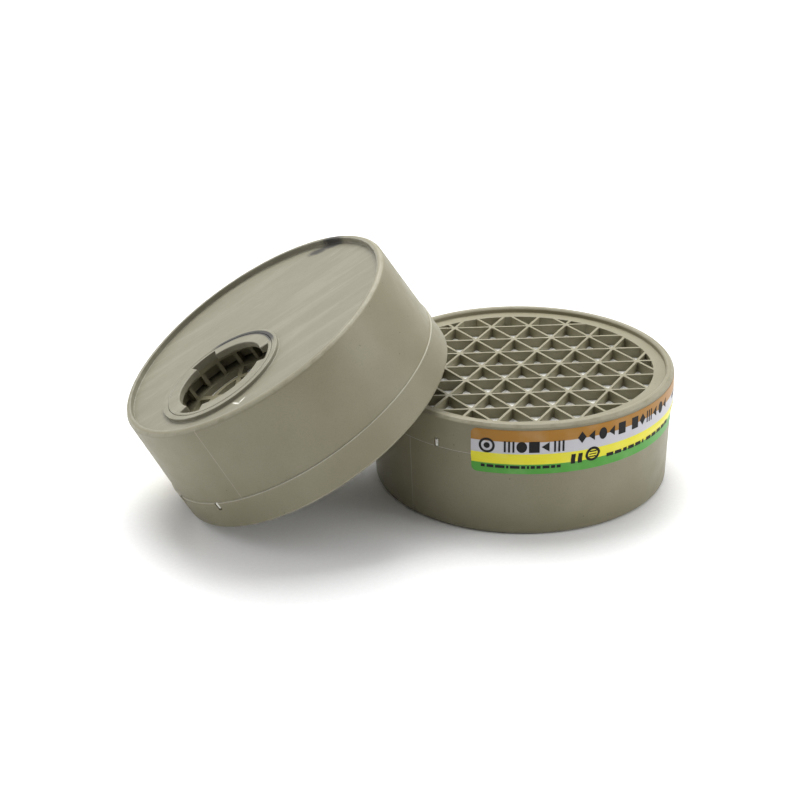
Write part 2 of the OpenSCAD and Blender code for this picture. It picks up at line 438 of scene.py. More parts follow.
def srgb(r, g, b):
    """Linear colour of an 8-bit display colour."""
    return tuple((c / 255 / 12.92) if c <= 10 else ((c / 255 + 0.055) / 1.055) ** 2.4 for c in (r, g, b))


# ---------------------------------------------------------------------------
# Finishes
# ---------------------------------------------------------------------------

SHELL_TONE = srgb(127, 122, 98)
SHELL_LIGHT = srgb(143, 139, 118)
SHELL_DARK = srgb(107, 101, 76)
REAR_SHEEN_TONE = srgb(121, 119, 106)
PALE_WEAR_AND_HIGHLIGHT_TONE = srgb(190, 187, 172)
SCUFF_AND_GROOVE_TONE = srgb(30, 29, 29)
INCLUSION_TONE = srgb(70, 64, 50)
JOINT_SHADE_TONE = srgb(62, 58, 44)
NICK_TONE = srgb(226, 224, 214)
LUG_TONES = (srgb(214, 212, 200), srgb(240, 239, 232))
FIBRE_TONES = (srgb(216, 216, 208), srgb(246, 246, 242))
DUST_TONE = srgb(60, 58, 52)
CARBON_TONES = (srgb(24, 24, 24), srgb(58, 56, 53))
CARBON_GAP_SHADE = srgb(8, 8, 8)
FOAM_STRAND_AND_PORE_SHADE_TONES = (srgb(98, 98, 96), srgb(34, 34, 34))
FILM_FADED = srgb(240, 236, 214)
FILM_GRAIN = srgb(120, 100, 50)
FILM_SCUFF = srgb(245, 243, 235)
INK_TONES = (srgb(20, 19, 19), srgb(56, 53, 44))
PAPER_TONES = ((0.86, 0.86, 0.865), (0.885, 0.885, 0.89))

# how much of a tone each mark takes on
PLAIN_SHARE = 0.8
SPECKLE_SHARE = 0.24
INCLUSION_SHARE = 0.7
JOINT_SHADE_SHARE = 0.5
STEP_HIGHLIGHT_SHARE = 0.6
WITNESS_HIGHLIGHT_SHARE = 0.22
EDGE_WEAR_AND_HIGHLIGHT_SHARE = 0.2
REAR_SHEEN_SHARE = 0.55
FLOW_SHARE = 0.14
SCRATCH_SHARE = 0.45
SCUFF_SHARE = 0.85
FILM_SCUFF_SHARE = 0.4

# scales of the shell's patterns, per millimetre, and depths of its relief, in metres
CLOUD_SCALE = 0.045
SPECKLE_SCALE = 2.6
GRAIN_SCALE = 6.5
INCLUSION_SCALE = 0.21
GRAIN_DEPTH = 0.00003
WITNESS_DEPTH = 0.00006
FLOW_DEPTH = 0.0002
SCRATCH_DEPTH = 0.00002

# radius, height and width of each rubbed edge, lightened for wear and as a painted highlight
WORN_AND_HIGHLIT_RINGS = ((REAR_R - EDGE / 2, EDGE / 2, 0.8), (RIM_IN_R, 0.0, 0.45),
              (COVER_R - EDGE / 2, HEIGHT - EDGE / 2, 0.9), (LIP_IN_R + 0.3, HEIGHT - 0.1, 0.6),
              (COVER_R, SEAM_Z, 0.45))

# where the outer wall starts, as a fade from inside to outside
OUTER_WALL = (43.2, 43.5)
WITNESS_ANGLE = -13.0
# directions of the rear wall's marks and of the resin's flow across them
MARK_TURN = 43.9
FLOW_TURN = 38
# direction and seed of each set of scratches
SCRATCHES = ((47, 11.0), (12, 29.0), (-64, 53.0))
# direction and seed of each layer of fibres
FIBRE_LAYERS = ((0, 0.0), (55, 7.0), (110, 17.0))
# place, length and width, and direction of each rubber scuff and pale nick on the leaning cartridge
SCUFFS = (((-38.6, 2.2), (5.2, 2.2), 78), ((-40.6, -2.2), (7.6, 2.0), 80), ((-41.8, -2.6), (6.2, 1.4), 88))
NICKS = (((31.0, -16.9), (2.2, 0.45), -78), ((29.9, -18.5), (1.8, 0.45), 15))
GROOVE_LINE_R = 17.6
GROOVE_LINE_DARKNESS = {"flat": 0.35, "leaning": 0.92}


def ring_wear_and_highlight(shader, radius, z, at_r, at_z, width, patchy):
    """Rubbed edge with a painted highlight: a narrow ring at (radius, height), broken up by a patchy noise.
    """
    dr = shader.math("SUBTRACT", radius, at_r)
    dz = shader.math("SUBTRACT", z, at_z)
    away = shader.length(dr, dz)
    return shader.both(shader.ramp(away, width, width * 0.3), patchy)


def moulded_shell(side, name, wear_and_highlight_edges=True, rear_marks=False):
    """Olive-grey moulded plastic with a fine spark-eroded grain, flow shading and rubbed edges; the rubbed
    edges, the skirt's step and the parting line carry painted highlights, and the flat one a painted shade
    under the skirt.
    """
    s = Shader(side + "_" + name)
    place = s.cartridge_place(side)
    radius, angle, z = s.polar(place)
    cloudy = s.noise(place, CLOUD_SCALE, 3.0, 0.5)
    speckle = s.noise(place, SPECKLE_SCALE, 2.0, 0.6)
    fine = s.noise(place, GRAIN_SCALE, 3.0, 0.65)
    tone = s.mix(s.ramp(cloudy, 0.35, 0.68), SHELL_DARK, SHELL_LIGHT)
    tone = s.mix(PLAIN_SHARE, tone, SHELL_TONE)
    tone = s.mix(s.ramp(speckle, 0.42, 0.72, 0.0, SPECKLE_SHARE), tone, SHELL_DARK)
    rough = s.ramp(s.noise(place, 0.16, 4.0, 0.6), 0.3, 0.7, 0.42, 0.52)
    relief = s.bump(fine, GRAIN_DEPTH, 0.42)

    # tiny dark inclusions
    specks = s.ramp(s.voronoi(place, INCLUSION_SCALE), 0.055, 0.025)
    tone = s.mix(s.math("MULTIPLY", specks, INCLUSION_SHARE), tone, INCLUSION_TONE)

    outer_wall = s.ramp(radius, *OUTER_WALL)
    if side == "flat":
        # painted shade in the joint line under the skirt
        joint = s.both(s.near(z, SEAM_Z - 0.12, 0.1, 0.16), outer_wall)
        tone = s.mix(s.math("MULTIPLY", joint, JOINT_SHADE_SHARE), tone, JOINT_SHADE_TONE)

    # painted highlight on the step of the skirt's edge
    step = s.both(s.near(z, SEAM_Z, 0.1, 0.1), s.ramp(radius, 44.6, 44.7))
    tone = s.mix(s.math("MULTIPLY", step, STEP_HIGHLIGHT_SHARE), tone, PALE_WEAR_AND_HIGHLIGHT_TONE)

    # parting line of the mould, down the outer wall: a raised line with a painted highlight along it
    below_seam = s.ramp(z, 25.2, 24.9)
    witness = s.both(s.near(angle, WITNESS_ANGLE, 0.10, 0.14), outer_wall, below_seam)
    tone = s.mix(s.math("MULTIPLY", witness, WITNESS_HIGHLIGHT_SHARE), tone, PALE_WEAR_AND_HIGHLIGHT_TONE)
    relief = s.bump(witness, WITNESS_DEPTH, 0.8, relief)

    if wear_and_highlight_edges:
        # rubbed edges, lightened both for wear and as a painted highlight
        patchy = s.ramp(s.noise(place, 0.3, 3.0, 0.6), 0.2, 0.6)
        edges = s.either(*(ring_wear_and_highlight(s, radius, z, *ring, patchy) for ring in WORN_AND_HIGHLIT_RINGS))
        tone = s.mix(s.math("MULTIPLY", edges, EDGE_WEAR_AND_HIGHLIGHT_SHARE), tone, PALE_WEAR_AND_HIGHLIGHT_TONE)

    if rear_marks:
        tone, rough, relief = rear_face_marks(s, side, place, tone, rough, relief)

    s.set(Base_Color=tone, Roughness=rough, Normal=relief, Specular_IOR_Level=0.5)
    return s.material


def rear_face_marks(s, side, place, tone, rough, relief):
    """Painted sheen, flow shading, brushed streaks, scratches and rubber scuffs on the rear wall and rim.
    """
    turned = s.mapping(place, rotation=(0, 0, math.radians(-MARK_TURN)))
    radius, _, z = s.polar(place)
    on_rear = s.both(s.ramp(z, 3.0, 2.6), s.ramp(radius, 42.6, 42.2))

    # resin flow: soft pale fans that spread from the gate
    drawn_out = s.mapping(turned, rotation=(0, 0, math.radians(FLOW_TURN)), scale=(0.02, 0.2, 0.05))
    fans = s.noise(drawn_out, 1.0, 4.0, 0.6, 0.6)
    # painted sheen: the rear wall is turned greyer, standing in for a reflection of the bright room
    tone = s.mix(s.math("MULTIPLY", on_rear, REAR_SHEEN_SHARE), tone, REAR_SHEEN_TONE)
    tone = s.mix(s.both(s.ramp(fans, 0.42, 0.75), s.math("MULTIPLY", on_rear, FLOW_SHARE)), tone, PALE_WEAR_AND_HIGHLIGHT_TONE)
    relief = s.bump(s.math("MULTIPLY", fans, on_rear), FLOW_DEPTH, 0.16, relief)

    # fine scratches: very long thin noise in three directions, of which only the peaks show
    scratches = None
    for turn, seed in SCRATCHES:
        line = s.noise(s.mapping(turned, location=(seed, seed, 0), rotation=(0, 0, math.radians(turn)),
                                 scale=(0.05, 3.2, 1.0)), 1.0, 2.0, 0.5)
        some = s.noise(s.mapping(place, location=(seed, 0, 0)), 0.08, 2.0, 0.5)
        mark = s.both(s.ramp(line, 0.735, 0.77), s.ramp(some, 0.5, 0.6))
        scratches = mark if scratches is None else s.either(scratches, mark)
    scratches = s.math("MULTIPLY", scratches, on_rear)
    tone = s.mix(s.math("MULTIPLY", scratches, SCRATCH_SHARE), tone, PALE_WEAR_AND_HIGHLIGHT_TONE)
    relief = s.bump(s.math("SUBTRACT", 1.0, scratches), SCRATCH_DEPTH, 0.5, relief)

    if side == "leaning":
        ragged = s.noise(s.mapping(place, scale=(1.7, 0.8, 1.0)), 1.5, 5.0, 0.85)
        scuffs = s.either(*(s.smudge(place, *scuff, ragged) for scuff in SCUFFS))
        tone = s.mix(s.math("MULTIPLY", scuffs, SCUFF_SHARE), tone, SCUFF_AND_GROOVE_TONE)
        hook = s.either(*(s.smudge(place, *nick, ragged) for nick in NICKS))
        tone = s.mix(s.both(hook, on_rear, s.ramp(z, 1.5, 1.65), SCUFF_SHARE), tone, NICK_TONE)

    # darker along the groove round the socket, low down and on the side towards the cartridge's axis,
    # broken up by a noise
    from_socket, about_socket, _ = s.polar(place, (SOCKET_X, 0.0))
    off_far_side = s.math("SUBTRACT", 180.0, s.math("ABSOLUTE", about_socket))
    groove_breakup = s.noise(place, 0.7, 3.0, 0.6)
    groove_line = s.both(s.near(from_socket, GROOVE_LINE_R, 0.7, 0.25), s.ramp(off_far_side, 52.0, 36.0),
                  s.ramp(z, 1.6, 1.1), s.ramp(groove_breakup, 0.12, 0.34))
    tone = s.mix(s.math("MULTIPLY", groove_line, GROOVE_LINE_DARKNESS[side]), tone, SCUFF_AND_GROOVE_TONE)
    rough = s.math("ADD", rough, s.math("MULTIPLY", scratches, 0.12))
    return tone, rough, relief


def stressed_plastic():
    """Snap lug whitened where it was forced past the cover."""
    s = Shader("stressed_plastic")
    cloudy = s.noise(s.object_place(), 1800.0, 2.0, 0.6)
    tone = s.mix(s.ramp(cloudy, 0.35, 0.65), *LUG_TONES)
    s.set(Base_Color=tone, Roughness=s.ramp(cloudy, 0.3, 0.7, 0.42, 0.55))
    return s.material


def fleece_cloth(side, name, dusty):
    """White needled fleece: crossing fibres, tiny dark specks of carbon dust."""
    s = Shader(side + "_" + name)
    place = s.cartridge_place(side)
    fibres = None
    for turn, seed in FIBRE_LAYERS:
        one = s.noise(s.mapping(place, location=(seed, 0, 0), rotation=(0, 0, math.radians(turn)),
                                scale=(0.5, 4.5, 2.0)), 1.0, 3.0, 0.6, 0.8)
        fibres = one if fibres is None else s.math("MAXIMUM", fibres, one)
    tone = s.mix(s.ramp(fibres, 0.45, 0.72), *FIBRE_TONES)
    dust = s.ramp(s.voronoi(place, 1.1), 0.11, 0.05)
    tone = s.mix(s.math("MULTIPLY", dust, dusty), tone, DUST_TONE)
    s.set(Base_Color=tone, Roughness=0.92, Normal=s.bump(fibres, 0.0001, 0.7), Specular_IOR_Level=0.2,
          Sheen_Weight=0.3, Sheen_Roughness=0.5)
    return s.material


def carbon_grains(side, name, size):
    """Packed activated carbon: glinting black grains."""
    s = Shader(side + "_" + name)
    place = s.cartridge_place(side)
    gap = s.voronoi(place, 1.0 / size, "DISTANCE_TO_EDGE")
    shade = s.noise(place, 0.8 / size, 2.0)
    tone = s.mix(s.ramp(shade, 0.35, 0.7), *CARBON_TONES)
    # painted shade in the gaps between the grains
    tone = s.mix(s.ramp(gap, 0.12, 0.0), tone, CARBON_GAP_SHADE)
    s.set(Base_Color=tone, Roughness=s.ramp(shade, 0.3, 0.7, 0.45, 0.8), Normal=s.bump(gap, 0.0003, 0.9))
    return s.material


def foam_cells(side, name):
    """Dark open-cell foam."""
    s = Shader(side + "_" + name)
    place = s.cartridge_place(side)
    cells = s.voronoi(place, 1.9, "DISTANCE_TO_EDGE")
    # strands lighter, pores darker: painted shade in the pores
    tone = s.mix(s.ramp(cells, 0.02, 0.3), *FOAM_STRAND_AND_PORE_SHADE_TONES)
    s.set(Base_Color=tone, Roughness=0.95, Normal=s.bump(cells, 0.0002, -1.0), Specular_IOR_Level=0.2)
    return s.material


# lower edge of each class stripe across the film, and its colour: green, yellow, grey, brown
STRIPES = ((0.0, srgb(66, 146, 44)), (0.222, srgb(216, 208, 30)),
           (0.47, srgb(182, 182, 188)), (0.742, srgb(152, 103, 4)))


def striped_film():
    """Glossy label film with the four class stripes across its width. U runs along it, V up it."""
    s = Shader("striped_film")
    uv = s.uv()
    _, v, _ = s.split(uv)
    ramp = s.tree.nodes.new("ShaderNodeValToRGB")
    ramp.color_ramp.interpolation = "CONSTANT"
    points = ramp.color_ramp.elements
    while len(points) < len(STRIPES):
        points.new(0.5)
    for point, (low, colour) in zip(points, STRIPES):
        point.position = low
        point.color = (*colour, 1.0)
    s.put(ramp.inputs[0], v)
    in_mm = s.mapping(uv, scale=(LABEL_L, LABEL_H, 1))
    faded = s.noise(in_mm, 0.12, 3.0, 0.5)
    grain = s.noise(in_mm, 9.0, 2.0, 0.6)
    tone = s.mix(s.ramp(faded, 0.4, 0.8, 0.0, 0.08), ramp.outputs[0], FILM_FADED)
    tone = s.mix(s.ramp(grain, 0.45, 0.75, 0.0, 0.10), tone, FILM_GRAIN)
    lines = s.noise(s.mapping(in_mm, rotation=(0, 0, 0.5), scale=(0.2, 3.5, 1)), 1.0, 2.0)
    scuff = s.both(s.ramp(lines, 0.74, 0.78), s.ramp(s.noise(in_mm, 0.1), 0.5, 0.62))
    tone = s.mix(s.math("MULTIPLY", scuff, FILM_SCUFF_SHARE), tone, FILM_SCUFF)
    s.set(Base_Color=tone, Roughness=s.ramp(faded, 0.3, 0.7, 0.34, 0.44),
          Normal=s.bump(faded, 0.00008, 0.25), Specular_IOR_Level=0.35)
    return s.material


def printing_ink():
    """Black print with slightly starved patches."""
    s = Shader("printing_ink")
    place = s.object_place()
    starved = s.noise(place, 2600.0, 2.0, 0.6)
    tone = s.mix(s.ramp(starved, 0.55, 0.8, 0.0, 0.5), *INK_TONES)
    s.set(Base_Color=tone, Roughness=s.ramp(starved, 0.3, 0.7, 0.5, 0.62), Specular_IOR_Level=0.2)
    return s.material


def studio_paper():
    """Pale seamless paper under and behind the pair."""
    s = Shader("studio_paper")
    fibre = s.noise(s.object_place(), 900.0, 3.0, 0.6)
    tone = s.mix(s.ramp(fibre, 0.3, 0.7), *PAPER_TONES)
    s.set(Base_Color=tone, Roughness=0.75, Specular_IOR_Level=0.25, Normal=s.bump(fibre, 0.00002, 0.2))
    return s.material


# ---------------------------------------------------------------------------
# Case: cup with rear rim, eccentric socket collar, spigot and snap lugs
# ---------------------------------------------------------------------------

def circle_edges(bm, centre_x, radius, z):
    """The ring of edges that lie on one circle."""
    def on(vert):
        away = math.hypot(vert.co.x - centre_x, vert.co.y)
        return abs(away - radius) < ON_CIRCLE and abs(vert.co.z - z) < ON_CIRCLE
    return [e for e in bm.edges if on(e.verts[0]) and on(e.verts[1])]


def snap_lug(bm, at):
    """One lug that shows in a window of the cover."""
    made = bmesh.ops.create_cube(bm, size=1.0)["verts"]
    depth = LUG_R - SPIGOT_R + LUG_ROOT
    size = Matrix.Diagonal((depth, WINDOW_W - 2 * LUG_GAP, LUG_H, 1))
    shift = Matrix.Translation((SPIGOT_R - LUG_ROOT + depth / 2, 0, SEAM_Z - LUG_GAP + WINDOW_H / 2))
    bmesh.ops.transform(bm, matrix=Matrix.Rotation(math.radians(at), 4, "Z") @ shift @ size, verts=made)
    edges = list({e for v in made for e in v.link_edges})
    older = set(bm.faces) - {f for v in made for f in v.link_faces}
    round_edges(bm, edges, MOULD_EDGE, 3)
    for face in bm.faces:
        if face not in older:
            face.material_index = 1 if at in WHITE_LUGS else 0


def make_case(side, material, lug_material):
    bm = bmesh.new()
    spin_profile(bm, [
        (RIM_IN_R, RIM_H), (RIM_IN_R, 0.0), (REAR_R - EDGE, 0.0), (REAR_R, EDGE), (CASE_R, SEAM_Z),
        (SPIGOT_R, SEAM_Z), (SPIGOT_R, SPIGOT_Z), (CAVITY_R, SPIGOT_Z), (CAVITY_R, REAR_IN_Z)],
        closed=False)
    spin_profile(bm, [
        (SEAT_R, REAR_IN_Z), (SEAT_R, COLLAR_DROP), (COLLAR_R, COLLAR_DROP), (COLLAR_R, RIM_H)],
        closed=False, centre=(SOCKET_X, 0, 0))
    bmesh.ops.remove_doubles(bm, verts=bm.verts, dist=MERGE)
    for outer, inner, z in ((RIM_IN_R, COLLAR_R, RIM_H), (CAVITY_R, SEAT_R, REAR_IN_Z)):
        loops = circle_edges(bm, 0.0, outer, z) + circle_edges(bm, SOCKET_X, inner, z)
        bmesh.ops.bridge_loops(bm, edges=loops)
    close_up(bm)

    def on_outer_edge(edge):
        start = edge.verts[0].co
        return start.z < EDGE + NEAR and start.xy.length > REAR_R - EDGE - NEAR

    def off_seam(edge):
        return abs(edge.verts[0].co.z - SEAM_Z)

    round_edges(bm, sharp_edges(bm, SHALLOW_EDGE, on_outer_edge), MOULD_EDGE, 4)
    soften(bm, SEAM_EDGE, 2, SHARP_EDGE, lambda e: off_seam(e) < NEAR)
    soften(bm, CASE_INSIDE, 3, SHARP_EDGE, lambda e: off_seam(e) > 0.5)
    for at in WINDOWS:
        snap_lug(bm, at)
    face_outwards(bm)
    return add_piece(bm, side + "_moulded_case", side, [material, lug_material], [side + "_case"])


# ---------------------------------------------------------------------------
# Bayonet ring: sleeve and flange, with three tabs that reach inwards, and the wall behind it
# ---------------------------------------------------------------------------

def bayonet_tab(middle):
    """One tab, with its middle at an angle."""
    bm = bmesh.new()
    outer = BORE_R + TAB_ROOT
    top = COLLAR_DROP + TAB_T
    spin_profile(bm, [(PILOT_R, COLLAR_DROP), (outer, COLLAR_DROP), (outer, top), (PILOT_R, top)],
                 angle=TAB_ARC, start=middle - TAB_ARC / 2)
    close_up(bm)
    soften(bm, TAB_EDGE, 3, SHARP_EDGE)
    bmesh.ops.translate(bm, vec=(SOCKET_X, 0, 0), verts=bm.verts)
    return bm


def make_bayonet_ring(side, material):
    bm = bmesh.new()
    spin_profile(bm, [
        (BORE_R, COLLAR_DROP), (RING_R, COLLAR_DROP), (RING_R, REAR_IN_Z), (FLANGE_R, REAR_IN_Z),
        (FLANGE_R, FLANGE_Z), (BORE_R, FLANGE_Z)], centre=(SOCKET_X, 0, 0))
    close_up(bm)
    soften(bm, RING_EDGE, 2, SHARP_EDGE)
    for i in range(TABS):
        join_into(bm, bayonet_tab(180 + i * 360 / TABS))
    return add_piece(bm, side + "_socket_ring", side, [material], [side + "_bayonet_ring"])


def make_socket_baffle(side, material):
    """Thin wall behind the posts."""
    bm = bmesh.new()
    spin_profile(bm, [
        (BAFFLE_IN_R, REAR_IN_Z), (BAFFLE_OUT_R, REAR_IN_Z), (BAFFLE_OUT_R, BAFFLE_TOP),
        (BAFFLE_IN_R, BAFFLE_TOP)], centre=(SOCKET_X, 0, 0))
    close_up(bm)
    soften(bm, BAFFLE_EDGE, 2, SHARP_EDGE)
    return add_piece(bm, side + "_socket_baffle", side, [material])


# ---------------------------------------------------------------------------
# Cover: skirt with snap windows, raised lip, ledge, and a grille of crossing ribs
# ---------------------------------------------------------------------------

def cut(bm, point, normal):
    """Cuts every face along a plane and keeps both sides."""
    bmesh.ops.bisect_plane(bm, geom=bm.verts[:] + bm.edges[:] + bm.faces[:], dist=0.0001,
                           plane_co=point, plane_no=normal)


def cover_cap(bm):
    """Skirt, lip, ledge and grille ring, with a gap in the skirt's edge at each window."""
    window_top = SEAM_Z + WINDOW_H
    lip_break = (COVER_R - LIP_IN_R) / 4
    skirt_in_r = COVER_R - SKIRT_T
    ring_out_r = GRILLE_R + GRILLE_RING_T
    spin_profile(bm, [
        (skirt_in_r, window_top), (COVER_R, window_top), (COVER_R, HEIGHT - EDGE), (COVER_R - EDGE, HEIGHT),
        (LIP_IN_R + lip_break, HEIGHT), (LIP_IN_R, HEIGHT - lip_break), (LIP_IN_R, LEDGE_Z),
        (GRILLE_R, LEDGE_Z), (GRILLE_R, FRONT_Z), (ring_out_r, FRONT_Z), (ring_out_r, LEDGE_Z - LEDGE_T),
        (skirt_in_r, LEDGE_Z - LEDGE_T)])
    half = math.degrees(WINDOW_W / 2 / COVER_R)
    for at in WINDOWS[:2]:
        for jamb in (at - half, at + half):
            a = math.radians(jamb)
            cut(bm, (0, 0, 0), (-math.sin(a), math.cos(a), 0))

    def hangs(face):
        middle = face.calc_center_median()
        if abs(middle.z - window_top) > 0.001:
            return False
        at = math.degrees(math.atan2(middle.y, middle.x))
        return all(abs((at - w + 180) % 360 - 180) > half for w in WINDOWS)

    pull_faces(bm, [f for f in bm.faces if hangs(f)], (0, 0, -WINDOW_H))
    # the faces that were pulled from are left inside the wall
    bmesh.ops.delete(bm, geom=[f for f in bm.faces if hangs(f)], context="FACES")
    close_up(bm)
    lip_foot = HEIGHT - EDGE - NEAR
    window_line = window_top + NEAR
    rims = sharp_edges(bm, SHALLOW_EDGE, lambda e: min(v.co.z for v in e.verts) > lip_foot)
    round_edges(bm, rims, LIP_EDGE, 3)
    soften(bm, SEAM_EDGE, 2, SQUARE_EDGE, lambda e: max(v.co.z for v in e.verts) < window_line)
    soften(bm, COVER_INSIDE, 2, SQUARE_EDGE, lambda e: min(v.co.z for v in e.verts) > window_line)


def rib_lines():
    """Direction across each family of ribs, and the places of its ribs along it."""
    row = RIB_PITCH * math.sqrt(3) / 2
    count = math.ceil((GRILLE_R + GRILLE_SHIFT) / row)
    for family in range(3):
        a = math.radians(60 * family)
        yield Vector((-math.sin(a), math.cos(a), 0)), [k * row for k in range(-count, count + 1)]


def grille_lattice():
    """Three families of parallel ribs that cross in common points, with softened upper edges."""
    bm = bmesh.new()
    reach = GRILLE_R + GRILLE_RING_T / 2
    bmesh.ops.create_circle(bm, cap_ends=True, radius=reach, segments=STEPS,
                            matrix=Matrix.Translation((0, -GRILLE_SHIFT, 0)))
    for across, places in rib_lines():
        for place in places:
            for half in (-RIB_T / 2, RIB_T / 2):
                cut(bm, across * (place + half), across)

    def in_rib(face):
        middle = face.calc_center_median()
        return any(abs(middle.dot(across) - place) < RIB_T / 2
                   for across, places in rib_lines() for place in places)

    bmesh.ops.delete(bm, geom=[f for f in bm.faces if not in_rib(f)], context="FACES")
    pull_faces(bm, bm.faces[:], (0, 0, -RIB_DEPTH))
    face_outwards(bm)
    middle = Vector((0, -GRILLE_SHIFT, 0))

    def inside(edge, reach):
        return all((v.co - middle).xy.length < reach for v in edge.verts)

    def upright(edge):
        return abs(edge.verts[0].co.z - edge.verts[1].co.z) > RIB_DEPTH / 2

    def on_top(edge):
        return min(v.co.z for v in edge.verts) > -NEAR

    corners = sharp_edges(bm, SQUARE_EDGE, lambda e: upright(e) and inside(e, GRILLE_R - 0.3))
    round_edges(bm, corners, RIB_CORNER, 2)
    crests = sharp_edges(bm, SQUARE_EDGE, lambda e: on_top(e) and inside(e, GRILLE_R + 0.1))
    round_edges(bm, crests, RIB_CREST, 2)
    bmesh.ops.translate(bm, vec=(0, GRILLE_SHIFT, LEDGE_Z - RIB_SINK), verts=bm.verts)
    turn = Matrix.Rotation(math.radians(GRILLE_TURN), 3, "Z")
    bmesh.ops.rotate(bm, cent=(0, 0, 0), matrix=turn, verts=bm.verts)
    return bm


def make_cover(side, material):
    bm = bmesh.new()
    cover_cap(bm)
    join_into(bm, grille_lattice())
    return add_piece(bm, side + "_grille_cover", side, [material], [side + "_cover"])


# ---------------------------------------------------------------------------
# Fleeces and foam: soft round discs that swell a little into whatever presses on them
# ---------------------------------------------------------------------------

def make_soft_disc(side, name, low, thickness, swell, bulge, material, node):
    """A round soft disc with a gentle wave on both faces."""
    bm = bmesh.new()
    chain = [(DISC_R * i / SOFT_RINGS, 0.0) for i in range(SOFT_RINGS + 1)]
    spin_profile(bm, chain, closed=False, steps=SOFT_STEPS)
    close_up(bm)
    if sum(f.normal.z for f in bm.faces) < 0:
        bmesh.ops.reverse_faces(bm, faces=bm.faces)
    upper = set(pull_faces(bm, bm.faces[:], (0, 0, thickness)))
    face_outwards(bm)
    for vert in bm.verts:
        loose = max(0.0, 1.0 - (vert.co.xy.length / DISC_R) ** EDGE_HOLD)
        wave = noise.noise(vert.co * BROAD_WAVE) + FINE_SHARE * noise.noise(vert.co * FINE_WAVE)
        inward = -abs(wave) if vert in upper else abs(wave)
        vert.co.z += low + (swell * inward + (bulge if vert in upper else 0.0)) * loose
    return add_piece(bm, side + "_" + name, side, [material], [side + "_" + node],
                     smooth=SOFT_SHADING)


def make_fleeces_and_foam(side, fleece, foam):
    for name, node, low, thickness, swell, bulge in SHEETS:
        sheet = make_soft_disc(side, name, low, thickness, swell, bulge, fleece, node)
    pad = make_soft_disc(side, "press_foam", FOAM_Z, FOAM_T, FOAM_SWELL, 0.0, foam, "foam_pad")


# ---------------------------------------------------------------------------
# Label: striped film over the joint line, with generic print
# ---------------------------------------------------------------------------

FILM_COLUMNS = 130
FILM_ROWS = 26

# Print, in millimetres along the film and up the cartridge.
# a ring with a dot
DOT_AT = (4.6, 28.5)
DOT_R = 0.9
DOT_RING = (2.3, 1.6)
# rows of signs: left, right, low, high, width of a sign, gap
SIGN_ROWS = ((9.4, 26.6, 26.7, 30.1, 3.0, 0.5),
             (30.3, 46.6, 28.4, 32.0, 2.6, 0.7),
             (48.6, 69.6, 28.4, 32.0, 2.6, 0.7))
# rows of dashes: left, right, low, high
DASH_ROWS = ((2.8, 25.8, 21.5, 22.4), (39.8, 70.5, 22.3, 23.4),
             (74.0, 112.0, 28.4, 29.5), (74.0, 112.0, 24.6, 25.3))
# two tall blocks, then a ring with three bars
BLOCKS = ((28.5, 29.8), (30.6, 31.9))
BLOCK_FOOT = 22.2
BLOCK_TOP = 25.4
BARRED_AT = (35.1, 24.4)
BARRED_RING = (2.3, 1.5)
BAR_HALF_L = 1.1
BAR_HALF_T = 0.2
BAR_PITCH = 0.9
ROUND = 24
INK_RING_STEPS = 40
INK_CELL_L = 1.2
INK_CELL_H = 0.6
STROKES = 3
STROKE_PITCH = 0.4
STROKE_W = 0.2
DASH_LENGTHS = (0.7, 1.3, 2.2, 3.0)
DASH_GAPS = (0.5, 0.6, 1.2)
PRINT_SEED = 5


def wrap_on_shell(bm, start):
    """Bends flat label millimetres (along, up, off the wall) round the cartridge and over the seam step."""
    for vert in bm.verts:
        along, up, off = vert.co
        wall = REAR_R + (CASE_R - REAR_R) * (up - EDGE) / (SEAM_Z - EDGE)
        rise = min(1.0, max(0.0, (up - SEAM_Z + TENT_H) / TENT_H))
        radius = wall + (COVER_R - wall) * rise * rise * (3 - 2 * rise) + off
        a = math.radians(start) + along / COVER_R
        vert.co = (radius * math.cos(a), radius * math.sin(a), up)


def thicken(bm, low, high):
    """Gives flat shapes a thickness between two distances off the wall."""
    bmesh.ops.translate(bm, vec=(0, 0, low), verts=bm.verts)
    pull_faces(bm, bm.faces[:], (0, 0, high - low))
    face_outwards(bm)


def make_label(side, material):
    bm = bmesh.new()
    corner_at_zero = Matrix.Translation((0.5, 0.5, 0))
    bmesh.ops.create_grid(bm, x_segments=1, y_segments=1, size=0.5, matrix=corner_at_zero)
    bmesh.ops.scale(bm, vec=(LABEL_L, LABEL_H, 1), verts=bm.verts)
    bmesh.ops.bevel(bm, geom=bm.verts[:], offset=LABEL_CORNER, segments=6, profile=0.5, affect="VERTICES",
                    material=-1)
    for i in range(1, FILM_COLUMNS):
        cut(bm, (LABEL_L * i / FILM_COLUMNS, 0, 0), (1, 0, 0))
    for i in range(1, FILM_ROWS):
        cut(bm, (0, LABEL_H * i / FILM_ROWS, 0), (0, 1, 0))
    bmesh.ops.translate(bm, vec=(0, LABEL_BOTTOM, 0), verts=bm.verts)
    thicken(bm, 0.0, FILM_T)
    layer = bm.loops.layers.uv.new("film")
    for face in bm.faces:
        for loop in face.loops:
            loop[layer].uv = (loop.vert.co.x / LABEL_L, (loop.vert.co.y - LABEL_BOTTOM) / LABEL_H)
    wrap_on_shell(bm, LABEL_AT[side])
    return add_piece(bm, side + "_striped_label", side, [material], [side + "_label"],
                     smooth=SOFT_SHADING)


def ink_bar(bm, left, right, low, high):
    """One flat printed bar, fine enough to bend."""
    cells = math.ceil((right - left) / INK_CELL_L)
    rows = math.ceil((high - low) / INK_CELL_H)
    made = bmesh.ops.create_grid(bm, x_segments=cells, y_segments=rows, size=0.5)["verts"]
    bmesh.ops.scale(bm, vec=(right - left, high - low, 1), verts=made)
    bmesh.ops.translate(bm, vec=((left + right) / 2, (low + high) / 2, 0), verts=made)


